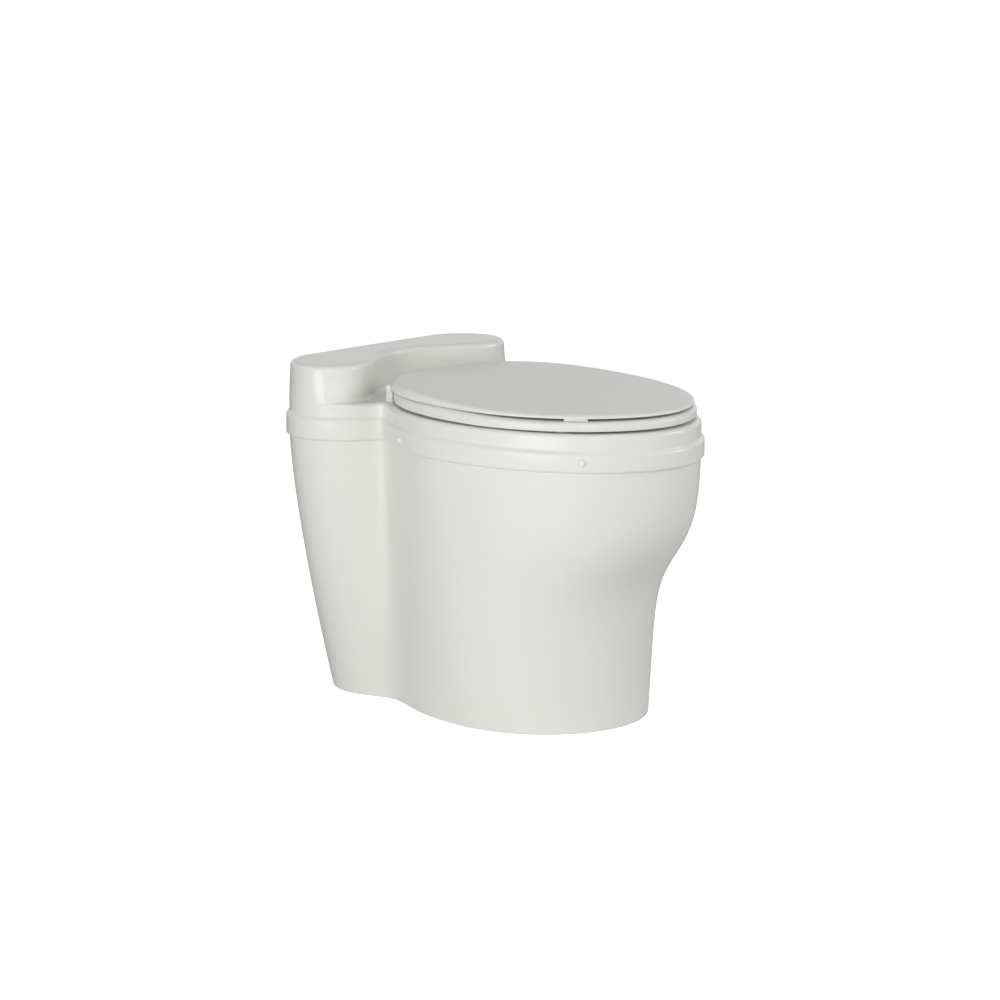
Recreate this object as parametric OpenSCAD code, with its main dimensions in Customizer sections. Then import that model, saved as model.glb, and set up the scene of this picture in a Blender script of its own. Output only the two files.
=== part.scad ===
// Dry toilet pedestal for a composting unit: a two-part moulded shell, an oval
// seat and lid, and a drop chute. Front faces -Y, the floor is z = 0.

/* [Rim of the pedestal] */
// Width of the front lobe at the rim
front_w = 371; // [360:1:380]
// Distance of the front tip from the origin at the rim
front_tip = 306; // [290:1:320]
// Y of the front lobe's widest place at the rim
front_cy = -37; // [-44:1:-30]
// How far the front lobe reaches back from its widest place
front_back = 230; // [225:1:235]
// Width of the rear lobe at the rim
rear_w = 400; // [390:1:410]
// Y of the flat back at the rim
rear_y = 305.3; // [302:0.1:309]
// Radius of the rear lobe's round ends at the rim
rear_r = 74; // [66:1:78]
// Softness of the waist between the lobes at the rim
waist_k = 132; // [110:2:150]

/* [Foot of the pedestal] */
// Width of the front lobe at the floor
foot_front_w = 310; // [300:1:330]
// Distance of the front tip from the origin at the floor
foot_front_tip = 209; // [200:1:230]
// Y of the front lobe's widest place at the floor
foot_front_cy = -41; // [-50:1:-30]
// How far the front lobe reaches back at the floor
foot_front_back = 234; // [225:1:245]
// Width of the rear lobe at the floor
foot_rear_w = 256; // [240:1:290]
// Y of the flat back at the floor
foot_rear_y = 296; // [286:1:302]
// Radius of the rear lobe's round ends at the floor
foot_rear_r = 79; // [70:1:84]
// Softness of the waist at the floor
foot_waist_k = 91; // [70:1:100]

/* [Pedestal wall] */
// Height of the rim where the side taper starts
taper_top = 387; // [370:1:400]
// Bend of the side taper, 1 is a straight cone
taper_bend = 1.36; // [1.1:0.02:1.6]
// Height share of the front's bulge, from the top
bulge_at = 0.378; // [0.3:0.01:0.5]
// Sharpness of the front's bulge
bulge_w = 0.075; // [0.06:0.005:0.12]
// Share of the front's taper that is an even draft
bulge_draft = 0.064; // [0.02:0.01:0.3]
// Wall of the pedestal
base_wall = 5; // [3.5:0.5:7]
// Thickness of the floor web
web_t = 6; // [4:0.5:10]
// Height of the pedestal's top edge, inside the band
base_top = 416; // [410:1:418]

/* [Top shroud] */
// Lower edge of the band
band_z = 387; // [380:1:395]
// Height of the band
band_h = 36; // [32:1:40]
// How far the band stands out from the rim
band_out = 5; // [4.5:0.5:7]
// Clearance between the band and the pedestal
band_gap = 0.6; // [0.4:0.1:1]
// Height of the deck that carries the seat
deck_z = 440.5; // [434:0.5:444]
// Thickness of the deck and of the hood
deck_t = 5; // [3.5:0.5:6]
// Rounding of the deck's rim
deck_round = 7; // [5:0.5:9]
// Height of the hood above the deck
hood_h = 54.5; // [46:0.5:70]
// Rounding of the hood's top edge
hood_round = 9; // [6:1:12]
// Rounding where the hood rises from the deck
fillet = 7; // [4:1:9]
// How far the hood's wall leans in from the deck to its top
hood_lean = 2; // [0.5:0.5:4]
// Y of the hood's front at its two cheeks
cheek_y = 172; // [168:1:176]
// Depth of the hollow in the hood's front, behind the lid
hollow_d = 63; // [50:1:70]
// Distance from the middle to each cheek
cheek_x = 156; // [145:1:165]

/* [Seat and lid] */
// Width of the lid
lid_w = 358; // [350:1:364]
// Distance of the lid's front tip from the origin
lid_tip = 293; // [285:1:297]
// Y of the lid's widest place
lid_cy = -75; // [-90:1:-60]
// Reach of the lid's rear curve
lid_back = 240; // [236:1:241]
// Fullness of the lid's front curve, 2 is an ellipse
lid_n_front = 1.88; // [1.8:0.02:2.2]
// Fullness of the lid's rear curve
lid_n_rear = 2.6; // [2.4:0.1:2.6]
// Gap between the seat's top and the lid's lower edge
lid_gap = 3.6; // [3.2:0.2:5]
// Thickness of the lid at its front edge
lid_edge = 6.5; // [5:0.5:9]
// How much higher the lid's top is at its rear
lid_rise = 8; // [4:0.5:12]
// Width of the lid's rounded edge
lid_round = 11; // [8:1:16]
// Skin of the lid
lid_t = 4; // [3:0.5:5]
// How much higher the middle of the lid is than its edge
lid_crown = 2.5; // [1:0.5:4]
// How far the seat's outline stands out from the lid's
seat_out = 3.8; // [2:0.2:5]
// Height of the pads that hold the seat off the deck
pad_h = 3; // [2.8:0.2:5]
// Thickness of the seat
seat_t = 14; // [12:0.5:16]
// Width of the hole in the seat
seat_hole_w = 222; // [200:1:236]
// Length of the hole in the seat
seat_hole_l = 292; // [270:1:300]
// Y of the middle of the hole in the seat
hole_cy = -92; // [-100:1:-84]
// Y of the seat's straight rear edge
seat_rear_y = 141; // [130:1:141]

/* [Hinge] */
// Y of the hinge axis
hinge_y = 150; // [149:0.5:151]
// Height of the hinge axis above the deck
hinge_up = 17.5; // [17:0.5:20]
// Radius of the hinge knuckles
barrel_r = 8; // [7:0.5:8]
// Radius of the hinge pin
pin_r = 3.5; // [3:0.5:4]
// Radial clearance of the pins in the seat and the lid
pin_gap = 0.05; // [0.02:0.01:0.1]
// Distance from the middle to the inner end of each hinge
knuckle_x = 77; // [70:1:77]
// Length of one knuckle
knuckle_l = 13; // [11:0.5:13.5]
// Gap between neighbouring knuckles
knuckle_gap = 0.4; // [0.3:0.1:0.6]
// Radius of the hinge bolt
hinge_bolt_r = 3; // [2.5:0.5:3.5]

/* [Liner and chute] */
// Width of the liner's mouth
mouth_w = 236; // [225:1:246]
// Length of the liner's mouth
mouth_l = 306; // [300:1:312]
// Skin of the liner
liner_t = 2.5; // [2:0.5:4]
// Width of the liner's hanging flange
liner_flange = 12; // [8:1:14]
// Inner radius of the liner's spout
spout_r = 112; // [100:1:114]
// Height of the spout's lower end
spout_z = 100; // [80:1:120]
// Height where the liner becomes round
round_z = 190; // [180:5:230]
// Y of the chute's axis
chute_y = -25; // [-30:1:-20]
// Radius of the socket for the chute pipe
socket_r = 129; // [120:0.5:130]
// Depth of the socket
socket_l = 60; // [40:5:80]
// Inner radius of the sleeve above the socket
sleeve_r = 123; // [118:0.5:125]
// Height of the sleeve
sleeve_h = 130; // [115:5:160]
// Wall of the sleeve around the socket
sleeve_t = 4; // [3:0.5:5]
// Width of the sleeve's fixing flange
sleeve_flange = 10; // [6:1:11]

/* [Fasteners] */
// Height of the band's screws
screw_z = 402; // [398:1:406]
// Radius of a band screw's shank
screw_r = 2.5; // [2:0.25:3]
// Radius of a screw cap
cap_r = 5.5; // [5:0.5:7]
// Thickness of the clip that a band screw threads into
clip_t = 5; // [4:0.5:7]
// Radius of a floor fixing hole
floor_hole_r = 4.5; // [3:0.5:6]
// Y of the front pair of floor holes
floor_front_y = -113; // [-120:1:-105]
// Half the spacing of the front pair of floor holes
floor_front_x = 126; // [123:0.5:128]
// Y of the rear pair of floor holes
floor_rear_y = 250; // [235:1:260]
// Half the spacing of the rear pair of floor holes
floor_rear_x = 70; // [50:1:85]

/* [Hidden] */

plastic = [0.87, 0.87, 0.85];
seat_plastic = [0.90, 0.90, 0.89];
rubber = [0.93, 0.93, 0.92];
liner_grey = [0.25, 0.26, 0.27];
steel = [0.75, 0.75, 0.76];

// Centre of the polar outline, inside both lobes
core_y = 177;
// Steps of half the outline: along the front lobe and along the rear lobe
steps_front = 22;
steps_rear = 18;
half_steps = steps_front + steps_rear;
ring_n = 2 * half_steps;
// Direction of the waist, seen from the centre
waist_a = -14;
// Steps from the waist to the place where the hood leaves the rim
leave_steps = 3;
hood_i = steps_front + leave_steps;
hood_n = ring_n - 2 * hood_i;

// Heights that follow from the driving sizes
hood_z = deck_z + hood_h;
seat_z = deck_z + pad_h;
seat_top = seat_z + seat_t;
lid_z = seat_top + lid_gap;
hinge_z = deck_z + hinge_up;

// Directions of the band's screws from the centre, right side first
screw_angles = [-73.7, -34, 70, 110, 214, 253.7];
// Clearance holes are this much larger in radius than the screw or bolt
hole_gap = 0.3;
// Room left between pieces that aren't fixed to each other
clear = 0.3;

function lerp(a, b, t) = a + (b - a) * t;
function smooth(t) = let (u = min(1, max(0, t))) u * u * (3 - 2 * u);
function logistic(x) = 1 / (1 + exp(-x));
function soft_max(a, b, k) = let (h = max(k - abs(a - b), 0) / k) max(a, b) + h * h * k / 4;
function soft_min(a, b, k) = -soft_max(-a, -b, k);

// Share of the taper and of the front's bulge at a height
function taper(z) = pow(max(0, 1 - z / taper_top), taper_bend);
function bulge(z) =
  let (h = max(0, 1 - z / taper_top),
       s = function(x) logistic((x - bulge_at) / bulge_w))
  (1 - bulge_draft) * (s(h) - s(0)) / (s(1) - s(0)) + bulge_draft * h;

// Distance from the centre to the front lobe, an egg of two half ellipses
function egg_ray(c, s, cy, w, front, back) =
  let (d = core_y - cy,
       ray = function(l)
         let (a = pow(c / w, 2) + pow(s / l, 2), b = 2 * s * d / (l * l), e = d * d / (l * l) - 1)
         (-b + sqrt(max(b * b - 4 * a * e, 0))) / (2 * a),
       rf = ray(front))
  core_y + rf * s < cy ? rf : ray(back);

// Distance from the centre to the rear lobe, a slot with round ends
function slot_ray(c, s, yb, w, r) =
  let (a = w - r, cy = yb - r - core_y, ac = abs(c), b = a * ac + cy * s,
       far = s > 0.01 && (yb - core_y) / s * ac <= a,
       near = s < -0.01 && (yb - 2 * r - core_y) / s * ac <= a)
  far ? (yb - core_y) / s
  : near ? (yb - 2 * r - core_y) / s
  : b + sqrt(max(b * b - (a * a + cy * cy - r * r), 0));

// Distance from the centre to the pedestal's outline at a height
function body_ray(a, z) =
  let (g = taper(z), c = cos(a), s = sin(a), cy = lerp(front_cy, foot_front_cy, g),
       tip = lerp(-front_tip, -foot_front_tip, bulge(z)),
       egg = egg_ray(c, s, cy, lerp(front_w, foot_front_w, g) / 2, cy - tip,
                     lerp(front_back, foot_front_back, g)),
       slot = slot_ray(c, s, lerp(rear_y, foot_rear_y, g), lerp(rear_w, foot_rear_w, g) / 2,
                       lerp(rear_r, foot_rear_r, g)))
  soft_max(egg, slot, lerp(waist_k, foot_waist_k, g));

// Direction of point i of the outline: 0 is the front tip, ring_n / 2 the middle of the back
function ray_a(i) =
  let (k = i <= half_steps ? i : ring_n - i,
       a = k <= steps_front ? -90 + (waist_a + 90) * pow(k / steps_front, 1.25)
           : waist_a + (90 - waist_a) * (k - steps_front) / steps_rear)
  i <= half_steps ? a : 180 - a;

// Point of the outline at direction a and height z, moved out by o along its normal
function body_at(a, z, o) =
  let (da = 0.5, r = body_ray(a, z),
       dr = (body_ray(a + da, z) - body_ray(a - da, z)) / (2 * da * PI / 180),
       n = [r * cos(a) + dr * sin(a), r * sin(a) - dr * cos(a)])
  [r * cos(a), core_y + r * sin(a)] + o * n / norm(n);
function body_ring(z, o, at_z) =
  [for (i = [0:ring_n - 1]) let (p = body_at(ray_a(i), z, o)) [p[0], p[1], at_z]];

// Faces between rings of n points that lie one after another in the point list
function ring_faces(n, rings) =
  [for (r = [0:rings - 2], i = [0:n - 1])
    let (j = (i + 1) % n) each [[r * n + i, r * n + j, (r + 1) * n + j],
                                [r * n + i, (r + 1) * n + j, (r + 1) * n + i]]];
// A closed ring-shaped skin: the last ring joins the first
function loop_faces(n, rings) = concat(ring_faces(n, rings),
  [for (i = [0:n - 1]) let (j = (i + 1) % n, l = (rings - 1) * n)
    each [[l + i, l + j, j], [l + i, j, i]]]);
function flipped(faces) = [for (f = faces) [f[0], f[2], f[1]]];

// Solid between rings whose ends are closed from a point on the core axis
module core_solid(rings) {
  n = len(rings[0]);
  k = len(rings);
  ends = [[0, core_y, rings[0][0][2]], [0, core_y, rings[k - 1][0][2]]];
  polyhedron(concat([for (r = rings) each r], ends), flipped(concat(ring_faces(n, k),
    [for (i = [0:n - 1]) let (j = (i + 1) % n) each
      [[j, i, n * k], [(k - 1) * n + i, (k - 1) * n + j, n * k + 1]]])));
}

// ---- pedestal -------------------------------------------------------------
// Heights of the wall's rings as shares of the taper, close together in the bulge
outer_shares = [0.155, 0.284, 0.388, 0.465, 0.53, 0.594, 0.659, 0.736, 0.827, 0.917, 1];
inner_shares = [0.917, 0.775, 0.62, 0.491, 0.362, 0.181];
foot_round = 2;

module base_shell() {
  rings = concat(
    [body_ring(0, -foot_round, 0), body_ring(foot_round, 0, foot_round)],
    [for (k = outer_shares) body_ring(k * taper_top, 0, k * taper_top)],
    [body_ring(taper_top, 0, base_top), body_ring(taper_top, -base_wall, base_top),
     body_ring(taper_top, -base_wall, taper_top)],
    [for (k = inner_shares) body_ring(k * taper_top, -base_wall, k * taper_top)],
    [body_ring(web_t, -base_wall, web_t)]);
  color(plastic) difference() {
    core_solid(rings);
    translate([0, chute_y, -1]) cylinder(r = socket_r + sleeve_t + clear, h = web_t + 2, $fn = 96);
    for (x = [-floor_front_x, floor_front_x]) floor_hole(x, floor_front_y);
    for (x = [-floor_rear_x, floor_rear_x]) floor_hole(x, floor_rear_y);
    screw_holes();
  }
}
// Clearance holes for all the band's screws
module screw_holes() {
  for (a = screw_angles)
    screw_frame(a) cylinder(r = screw_r + hole_gap, h = 6 * base_wall, center = true, $fn = 24);
}
module floor_hole(x, y) {
  translate([x, y, -1]) cylinder(r = floor_hole_r, h = web_t + 2, $fn = 32);
}

// ---- top shroud -------------------------------------------------------------
lobe_x = abs(body_at(ray_a(hood_i), taper_top, 0)[0]);
lobe_y = body_at(ray_a(hood_i), taper_top, 0)[1];
arc_steps = [0, 20, 45, 70, 90];
rim_steps = [12, 30, 50, 70, 90];
// The band's face from its lip to its soft shoulder, as shares of band_h and of band_out
band_face = [[0, 0.55], [0.05, 0.85], [0.14, 1], [0.97, 1], [1.07, 0.75], [1.18, 0.25], [1.28, 0]];

// How far the deck's rim is rounded at point i: nothing where the hood rises from it
function rim_share(i) = let (k = min(i, ring_n - i)) smooth((hood_i - k) / 4);

// Ring of the shroud's wall: o out from the rim, and r further in where the rim is rounded
function shroud_ring(z, o, r) = [for (i = [0:ring_n - 1])
  let (p = body_at(ray_a(i), taper_top, o - r * rim_share(i))) [p[0], p[1], z]];

// Y of the hood's front at x: two cheeks with a hollow between them, inset by o
function hood_front_y(x, o) =
  let (ax = abs(x), hollow = hollow_d * (1 + cos(180 * min(ax, cheek_x) / cheek_x)) / 2,
       corner = (lobe_y - cheek_y) * pow(max(0, ax - cheek_x) / (lobe_x - cheek_x), 1.8))
  cheek_y + hollow + corner + o * (o > 0 ? 1 : smooth((cheek_x + 10 - ax) / 40));

// Ring of the hood: the rim's own rear points, then the front from left to right
function hood_ring(z, o, f) = concat(
  [for (i = [hood_i:ring_n - hood_i])
    let (p = body_at(ray_a(i), taper_top, -o)) [p[0], p[1], z]],
  [for (j = [1:hood_n - 1])
    let (x = -(lobe_x - o) * cos(180 * j / hood_n)) [x, hood_front_y(x, f), z]]);

// Solid between hood rings whose ends are closed by strips from rear to front
module hood_solid(rings) {
  hm = 2 * hood_n;
  top = (len(rings) - 1) * hm;
  strips = [for (i = [0:hood_n - 1])
    let (a = i, b = i + 1, c = (hm - i) % hm, d = hm - i - 1)
    each i == 0 ? [[a, b, d]] : i == hood_n - 1 ? [[a, b, c]] : [[a, b, d], [a, d, c]]];
  polyhedron([for (r = rings) each r], flipped(concat(ring_faces(hm, len(rings)),
    [for (f = strips) f + [top, top, top]], flipped(strips))));
}

// Room around the liner in the deck's mouth
mouth_gap = 2;
// Ribs under the deck of the front lobe
rib_angles = [-86, -72, -58, -44, -30];
rib_t = 3;
rib_l = 20;
// Stiffening rib under the deck at direction a
module deck_rib(a) {
  under = deck_z - deck_t;
  foot = base_top + 5;
  screw_frame_flat(a) hull() {
    translate([-deck_t - rib_t, -rib_t / 2, foot]) cube([rib_t, rib_t, under + 0.5 - foot]);
    translate([-deck_t - rib_l, -rib_t / 2, under - rib_t]) cube([rib_t, rib_t, rib_t + 0.5]);
  }
}

module top_shroud() {
  outer_wall = concat(
    [for (f = band_face) shroud_ring(band_z + f[0] * band_h, f[1] * band_out, 0)],
    [for (a = rim_steps) shroud_ring(deck_z - deck_round * (1 - sin(a)), 0, deck_round * (1 - cos(a)))]);
  outer_hood = concat(
    [hood_ring(deck_z - 1, 0.2, -fillet)],
    [for (a = [0, 25, 55, 90]) hood_ring(deck_z + fillet * (1 - cos(a)), 0.2, -fillet * (1 - sin(a)))],
    [for (a = arc_steps) let (in = hood_lean + hood_round * (1 - cos(a)))
      hood_ring(hood_z - hood_round * (1 - sin(a)), in, in)]);
  inner_wall = [shroud_ring(band_z - 1, band_gap, 0), shroud_ring(base_top + 1.5, band_gap, 0),
    shroud_ring(base_top + 4, -deck_t, 0), shroud_ring(deck_z - deck_round, -deck_t, 0),
    shroud_ring(deck_z - deck_t, -deck_t, deck_round * 0.7)];
  in = hood_lean + deck_t;
  inner_hood = [hood_ring(deck_z - deck_t - 1, deck_t, deck_t),
    hood_ring(deck_z + 6, deck_t, deck_t),
    hood_ring(hood_z - hood_round, in, in),
    hood_ring(hood_z - deck_t, in + 4, in + 4)];
  color(plastic) difference() {
    union() {
      difference() {
        union() {
          core_solid(outer_wall);
          hood_solid(outer_hood);
        }
        core_solid(inner_wall);
        hood_solid(inner_hood);
        translate([0, hole_cy, deck_z - deck_t - 1])
          scale([mouth_w / 2 + mouth_gap, mouth_l / 2 + mouth_gap, 1])
          cylinder(r = 1, h = deck_t + 2, $fn = 96);
      }
      for (a = rib_angles) {
        deck_rib(a);
        deck_rib(180 - a);
      }
    }
    screw_holes();
    for (x = [-bolt_x, bolt_x])
      translate([x, hinge_y, deck_z - deck_t - 1])
        cylinder(r = hinge_bolt_r + hole_gap, h = deck_t + 2, $fn = 32);
  }
}

// ---- seat and lid -------------------------------------------------------------
oval_n = 64;
no_rear = 400;
// Point of the lid's outline at parameter a, moved in by d, with its rear edge held before yr
function oval_at(a, d, yr) =
  let (s = sin(a), c = cos(a), n = s < 0 ? lid_n_front : lid_n_rear,
       l = (s < 0 ? lid_tip + lid_cy : lid_back) - d, w = lid_w / 2 - d,
       x = w * sign(c) * pow(abs(c), 2 / n), y = lid_cy + l * sign(s) * pow(abs(s), 2 / n))
  [x, s < 0 ? y : soft_min(y, yr, 8)];
function oval_ring(z, d, yr) = [for (i = [0:oval_n - 1])
  let (p = oval_at(-90 + 360 * i / oval_n, d, yr)) [p[0], p[1], z]];
function hole_ring(z, d) = [for (i = [0:oval_n - 1]) let (a = -90 + 360 * i / oval_n)
  [(seat_hole_w / 2 + d) * cos(a), hole_cy + (seat_hole_l / 2 + d) * sin(a), z]];

module seat_ring() {
  rings = [
    oval_ring(seat_z, -seat_out + 2.5, seat_rear_y), oval_ring(seat_z + 2.5, -seat_out, seat_rear_y),
    oval_ring(seat_top - 6, -seat_out, seat_rear_y),
    oval_ring(seat_top - 2.5, -seat_out + 1.5, seat_rear_y),
    oval_ring(seat_top - 0.6, -seat_out + 5, seat_rear_y),
    oval_ring(seat_top, -seat_out + 11, seat_rear_y),
    hole_ring(seat_top - 0.5, 22), hole_ring(seat_top - 2.5, 9), hole_ring(seat_top - 6.5, 2),
    hole_ring(seat_z + 4, 0), hole_ring(seat_z, 2)];
  color(seat_plastic) difference() {
    union() {
      polyhedron([for (r = rings) each r], flipped(loop_faces(oval_n, len(rings))));
      both_sides() {
        on_axis(knuckle_x, barrel_r, knuckle_l);
        translate([knuckle_x, seat_rear_y - 2 * barrel_r, seat_z + 1])
          cube([knuckle_l, hinge_y - seat_rear_y + 2 * barrel_r, seat_t - 3]);
      }
    }
    both_sides() on_axis(knuckle_x - 1, pin_r + pin_gap, knuckle_l + 2);
  }
}
module both_sides() {
  children();
  mirror([1, 0, 0]) children();
}
module on_side(side) {
  mirror([side < 0 ? 1 : 0, 0, 0]) children();
}
// A cylinder on the hinge axis from x = x0
module on_axis(x0, r, l) {
  translate([x0, hinge_y, hinge_z]) rotate([0, 90, 0]) cylinder(r = r, h = l, $fn = 48);
}

// The lid's top climbs by lid_rise over this stretch
rise_from = -200;
rise_l = 300;
function lid_top(y) = lid_z + lid_edge + lid_rise * smooth((y - rise_from) / rise_l);
// Ring of the lid's upper skin: d in from its outline, share of the way up its rounded edge
function lid_ring(d, share, drop) = [for (p = oval_ring(0, d, no_rear))
  [p[0], p[1], lerp(lid_z + 1, lid_top(p[1]), share) - drop]];
// Ring of the lid's middle, shrunk towards (0, lid_cy) by k
function lid_inner_ring(d, k, drop) = [for (p = oval_ring(0, d, no_rear))
  let (y = lid_cy + (p[1] - lid_cy) * k) [p[0] * k, y, lid_top(y) + lid_crown * (1 - k * k) - drop]];
module lid() {
  top = concat([oval_ring(lid_z, 0.8, no_rear)],
    [for (a = [0, 30, 60, 90]) lid_ring(lid_round * (1 - cos(a)), sin(a), 0)],
    [lid_inner_ring(lid_round, 0.7, 0), lid_inner_ring(lid_round, 0.35, 0)]);
  under = concat([oval_ring(lid_z, lid_t, no_rear)],
    [lid_ring(lid_round + 1, 1, lid_t), lid_inner_ring(lid_round + 1, 0.6, lid_t)]);
  nt = len(top) * oval_n;
  nu = nt + len(under) * oval_n;
  peak = lid_top(lid_cy) + lid_crown;
  pts = concat([for (r = top) each r], [for (r = under) each r],
               [[0, lid_cy, peak], [0, lid_cy, peak - lid_t]]);
  faces = concat(
    ring_faces(oval_n, len(top)),
    [for (i = [0:oval_n - 1]) [nt - oval_n + i, nt - oval_n + (i + 1) % oval_n, nu]],
    [for (f = ring_faces(oval_n, len(under))) [f[0], f[2], f[1]] + [nt, nt, nt]],
    [for (i = [0:oval_n - 1]) [nu - oval_n + (i + 1) % oval_n, nu - oval_n + i, nu + 1]],
    [for (i = [0:oval_n - 1]) let (j = (i + 1) % oval_n) each [[i, nt + j, j], [i, nt + i, nt + j]]]);
  color(seat_plastic) difference() {
    union() {
      difference() {
        polyhedron(pts, flipped(faces));
        both_sides() on_axis(knuckle_x - knuckle_gap, barrel_r + 1, knuckle_l + 2 * knuckle_gap);
      }
      both_sides() {
        on_axis(lid_x, barrel_r, knuckle_l);
        translate([lid_x, hinge_y - 2.5 * barrel_r, hinge_z])
          cube([knuckle_l, 3.25 * barrel_r, lid_z + lid_t - hinge_z]);
      }
    }
    both_sides() on_axis(lid_x - 1, pin_r + pin_gap, knuckle_l + 2);
  }
}

// Pad under the lid's edge at the given side
bumper_a = -47;
bumper_l = 38;
bumper_w = 9;
module lid_bumper(side) {
  p = oval_at(bumper_a, 0, no_rear);
  q = oval_at(bumper_a + 2, 0, no_rear);
  turn = atan2(q[1] - p[1], q[0] - p[0]);
  color(rubber) on_side(side) translate([p[0], p[1], seat_top + clear]) rotate(turn)
    translate([-bumper_l / 2, 0.6, 0]) cube([bumper_l, bumper_w, lid_gap - clear]);
}

// Pads under the seat, in the middle of its ring
pad_r = 9;
pad_front = [118, -200];
pad_rear = [116, 70];
module seat_pad(side, place) {
  color(rubber) translate([side * place[0], place[1], deck_z]) cylinder(r = pad_r, h = pad_h, $fn = 32);
}

// ---- hinge -------------------------------------------------------------
// From the middle outwards: the seat's knuckle, the lid's knuckle, the fixed post, its cap
lid_x = knuckle_x + knuckle_l + knuckle_gap;
post_x = lid_x + knuckle_l + knuckle_gap;
pin_l = post_x + knuckle_l - knuckle_x;
bolt_x = post_x + knuckle_l / 2;
bolt_up = 10;
washer_t = 2;
washer_r = 6.5;
bolt_head_r = 5.5;
module hinge_post(side) {
  color(seat_plastic) on_side(side) difference() {
    union() {
      on_axis(post_x, barrel_r, knuckle_l);
      translate([post_x, hinge_y - barrel_r, deck_z]) cube([knuckle_l, 2 * barrel_r, hinge_z - deck_z]);
      translate([bolt_x, hinge_y, deck_z]) cylinder(r = barrel_r + 1.5, h = 2.5, $fn = 48);
    }
    on_axis(post_x - 1, pin_r, knuckle_l + 2);
    translate([bolt_x, hinge_y, deck_z - 1]) cylinder(r = hinge_bolt_r, h = bolt_up + 1, $fn = 32);
  }
}
module hinge_pin(side) {
  color(steel) on_side(side) on_axis(knuckle_x, pin_r, pin_l);
}
module hinge_cap(side) {
  color(seat_plastic) on_side(side)
    translate([post_x + knuckle_l, hinge_y, hinge_z]) rotate([0, 90, 0]) rotate_extrude($fn = 48)
      polygon([[0, 0], [barrel_r, 0], [barrel_r, 1], [barrel_r - 1, 2.2], [barrel_r - 3, 3], [0, 3.3]]);
}
module hinge_bolt(side) {
  under = deck_z - deck_t - washer_t;
  color(steel) translate([side * bolt_x, hinge_y, 0]) {
    translate([0, 0, under]) cylinder(r = hinge_bolt_r, h = deck_z + bolt_up - under, $fn = 32);
    translate([0, 0, under - 5]) cylinder(r = bolt_head_r, h = 5, $fn = 6);
  }
}
module hinge_washer(side) {
  color(steel) translate([side * bolt_x, hinge_y, deck_z - deck_t - washer_t]) difference() {
    cylinder(r = washer_r, h = washer_t, $fn = 40);
    translate([0, 0, -1]) cylinder(r = hinge_bolt_r + 0.2, h = washer_t + 2, $fn = 32);
  }
}

// ---- liner and chute -------------------------------------------------------------
liner_n = 48;
liner_z = deck_z + liner_t;
function liner_ring(z, o) =
  let (k = smooth((liner_z - z) / (liner_z - round_z)))
  [for (i = [0:liner_n - 1]) let (a = -90 + 360 * i / liner_n)
    [(lerp(mouth_w / 2 - liner_t, spout_r, k) + o) * cos(a),
     lerp(hole_cy, chute_y, k) + (lerp(mouth_l / 2 - liner_t, spout_r, k) + o) * sin(a), z]];
liner_levels = [405, 370, 335, 300, 265, 230, round_z];
module bowl_liner() {
  rings = concat(
    [liner_ring(liner_z, liner_t + liner_flange), liner_ring(liner_z, 0)],
    [for (z = liner_levels) liner_ring(z, 0)],
    [liner_ring(spout_z, 0), liner_ring(spout_z, liner_t)],
    [for (i = [len(liner_levels) - 1:-1:0]) liner_ring(liner_levels[i], liner_t)],
    [liner_ring(deck_z, liner_t), liner_ring(deck_z, liner_t + liner_flange)]);
  color(liner_grey) polyhedron([for (r = rings) each r], loop_faces(liner_n, len(rings)));
}
module chute_sleeve() {
  ro = socket_r + sleeve_t;
  color(liner_grey) translate([0, chute_y, 0]) rotate_extrude($fn = 96) polygon([
    [socket_r, 0], [ro, 0], [ro, web_t], [ro + sleeve_flange, web_t], [ro + sleeve_flange, web_t + 4],
    [ro, web_t + 4], [ro, socket_l + 4], [sleeve_r + sleeve_t, socket_l + 10],
    [sleeve_r + sleeve_t, sleeve_h], [sleeve_r, sleeve_h], [sleeve_r, socket_l], [socket_r, socket_l]]);
}

// ---- band screws -------------------------------------------------------------
// Frame at floor height with its X axis out of the rim at direction a and its origin on the rim
module screw_frame_flat(a) {
  p = body_at(a, taper_top, 0);
  q = body_at(a, taper_top, 1);
  translate([p[0], p[1], 0]) rotate([0, 0, atan2(q[1] - p[1], q[0] - p[0])]) children();
}
// Frame with its Z axis out of the band at direction a and its origin on the rim
module screw_frame(a) {
  screw_frame_flat(a) translate([0, 0, screw_z]) rotate([0, 90, 0]) children();
}
// Heads and caps sit this far off the band's true curve, clear of its flat faces
head_lift = 0.03;
// Clips sit this far behind the wall, clear of its curve
clip_gap = 0.9;
clip_back = base_wall + clip_gap + clip_t;
head_r = cap_r - 1.5;
head_t = 1.2;
module band_screw(i) {
  color(steel) screw_frame(screw_angles[i]) {
    translate([0, 0, -clip_back - 2])
      cylinder(r = screw_r, h = clip_back + 2 + band_out + head_lift, $fn = 24);
    translate([0, 0, band_out + head_lift]) cylinder(r = head_r, h = head_t, $fn = 32);
  }
}
module screw_cap(i) {
  color(seat_plastic) screw_frame(screw_angles[i]) translate([0, 0, band_out + head_lift])
    rotate_extrude($fn = 32)
    polygon([[head_r, 0], [cap_r, 0], [cap_r, 1], [head_r, 2.2], [0, 2.8], [0, head_t], [head_r, head_t]]);
}
module clip_nut(i) {
  color(steel) screw_frame(screw_angles[i]) translate([0, 0, -clip_back]) difference() {
    translate([-7, -6, 0]) cube([14, 12, clip_t]);
    translate([0, 0, -1]) cylinder(r = screw_r, h = clip_t + 2, $fn = 24);
  }
}

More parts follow.
